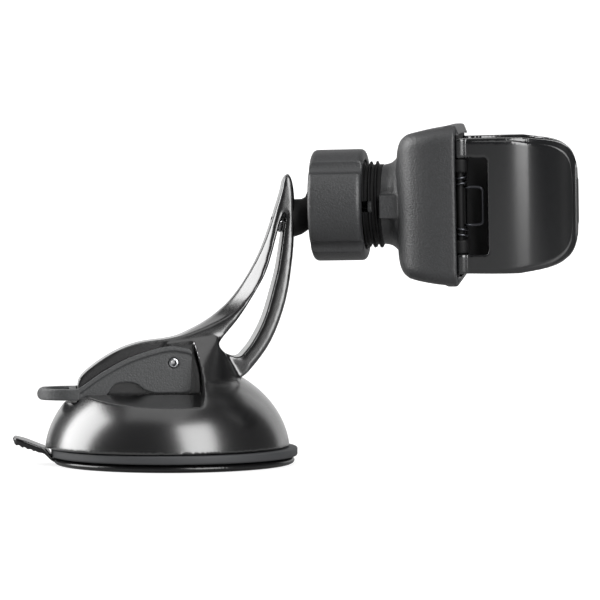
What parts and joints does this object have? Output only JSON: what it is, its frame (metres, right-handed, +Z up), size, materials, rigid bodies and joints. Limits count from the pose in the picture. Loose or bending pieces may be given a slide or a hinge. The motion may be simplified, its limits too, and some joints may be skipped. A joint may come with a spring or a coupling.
{
  "type": "car phone mount",
  "caption": "Suction base with cam lever and a two-legged arm, carrying a ball-jointed holder with a clamp nut and two sprung jaws that grip a phone.",
  "frame": {"origin": "centre of the suction cup's flat underside", "axes": "+Z up and away from the surface the cup sticks to, +X from the base towards the phone holder"},
  "size_m": [0.168, 0.0738, 0.1035],
  "materials": {
    "satin_black": "moulded, satin to gloss",
    "matte_grey": "fine spark texture, matte",
    "ring_grey": "fine texture, matte",
    "jaw_grey": "moulded, semi-gloss",
    "cup_rubber": "glossy soft rubber",
    "pad_rubber": "matte soft rubber",
    "steel": "bright drawn steel"
  },
  "bodies": {
    "base": {"suction_cup": "cup_rubber", "base_plate": "ring_grey", "base_screw_1": "steel", "base_screw_2": "steel", "base_screw_3": "steel", "dome_arm": "satin_black", "ball_stud": "satin_black", "stud_nut": "steel", "stem_spring": "steel"},
    "plunger": {"stem": "matte_grey"},
    "lever": {"cam_lever": "matte_grey", "lever_pin": "steel"},
    "tilt_seat": {"ball_seat_rear": "matte_grey"},
    "swivel_seat": {"ball_seat_front": "matte_grey"},
    "holder": {"rear_housing": "matte_grey", "front_plate": "matte_grey", "phone_pad": "pad_rubber", "plate_screw_1": "steel", "plate_screw_2": "steel", "plate_screw_3": "steel", "plate_screw_4": "steel", "axle_near": "steel", "axle_far": "steel", "jaw_spring_near": "steel", "jaw_spring_far": "steel"},
    "slip_ring": {"pressure_ring": "satin_black"},
    "nut": {"clamp_nut": "matte_grey"},
    "left_jaw": {"jaw_near": "jaw_grey", "grip_pad_near": "pad_rubber"},
    "right_jaw": {"jaw_far": "jaw_grey", "grip_pad_far": "pad_rubber"}
  },
  "joints": [
    {"name": "stem_slide", "type": "slide", "parent": "base", "child": "plunger", "axis": [0, 0, -1], "range_m": [0, 0.00331], "deforming": ["stem_spring"]},
    {"name": "lever_lift", "type": "hinge", "parent": "plunger", "child": "lever", "pos_m": [-0.0009, 0, 0.0306], "axis": [0, 1, 0], "range_deg": [0, 95]},
    {"name": "ball_tilt", "type": "hinge", "parent": "base", "child": "tilt_seat", "pos_m": [0.04758, 0, 0.07775], "axis": [0, -1, 0], "range_deg": [-5, 20]},
    {"name": "ball_swivel", "type": "hinge", "parent": "tilt_seat", "child": "swivel_seat", "pos_m": [0.04758, 0, 0.07775], "axis": [0, 0, 1], "range_deg": [-5.6, 34.3]},
    {"name": "ball_spin", "type": "hinge", "parent": "swivel_seat", "child": "holder", "pos_m": [0.04758, 0, 0.07775], "axis": [0.9687, -0.248, 0.0122], "continuous": true},
    {"name": "nut_travel", "type": "slide", "parent": "holder", "child": "slip_ring", "axis": [-0.9687, 0.248, -0.0122], "range_m": [0, 0.00096]},
    {"name": "nut_turn", "type": "hinge", "parent": "slip_ring", "child": "nut", "pos_m": [0.04952, -0.0005, 0.07777], "axis": [-0.9687, 0.248, -0.0122], "range_deg": [0, 180]},
    {"name": "left_jaw_open", "type": "hinge", "parent": "holder", "child": "left_jaw", "pos_m": [0.08183, -0.02757, 0.07648], "axis": [0.0356, 0.0898, -0.9953], "range_deg": [0, 70], "stiffness_Nm_per_rad": 0.12, "springref_deg": -45.84, "deforming": ["jaw_spring_near"]},
    {"name": "right_jaw_open", "type": "hinge", "parent": "holder", "child": "right_jaw", "pos_m": [0.09082, 0.00773, 0.07999], "axis": [-0.0356, -0.0898, 0.9953], "range_deg": [0, 70], "stiffness_Nm_per_rad": 0.12, "springref_deg": -45.84, "deforming": ["jaw_spring_far"]}
  ],
  "couplings": [
    {"joint": "stem_slide", "follows": "lever_lift", "m_per_rad": 0.00199},
    {"joint": "nut_travel", "follows": "nut_turn", "m_per_rad": 0.0003024}
  ]
}
